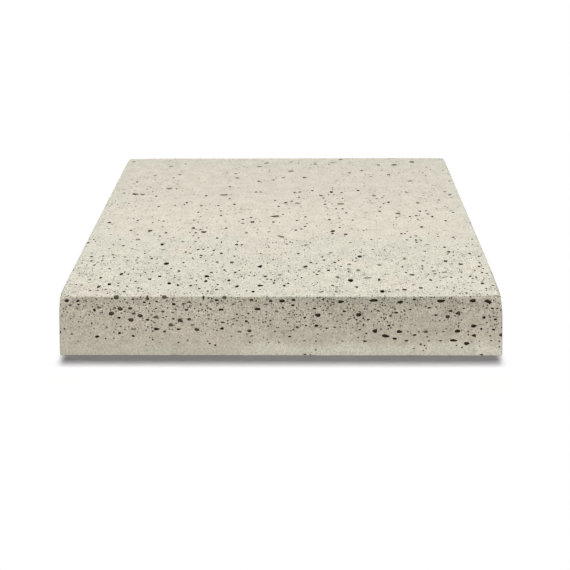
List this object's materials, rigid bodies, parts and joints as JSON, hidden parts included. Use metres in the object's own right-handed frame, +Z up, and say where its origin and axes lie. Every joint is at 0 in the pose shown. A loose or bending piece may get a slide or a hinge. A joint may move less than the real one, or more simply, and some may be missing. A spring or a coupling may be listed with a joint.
{
  "type": "concrete paving slab",
  "caption": "Square cast concrete paving slab with straight, slightly leaning sides, eased arrises and small open air pores in its face and sides.",
  "frame": {"origin": "middle of the bed, the underside that the slab lies on", "axes": "+Z up through the thickness to the wearing face, +X to the right along the front, +Y from the front to the back"},
  "size_m": [0.4, 0.4, 0.058],
  "materials": {
    "concrete": "matt cast concrete, cream grey with faint warm and green grey patches, open pored"
  },
  "bodies": {
    "root": {"slab": "concrete"}
  },
  "joints": []
}
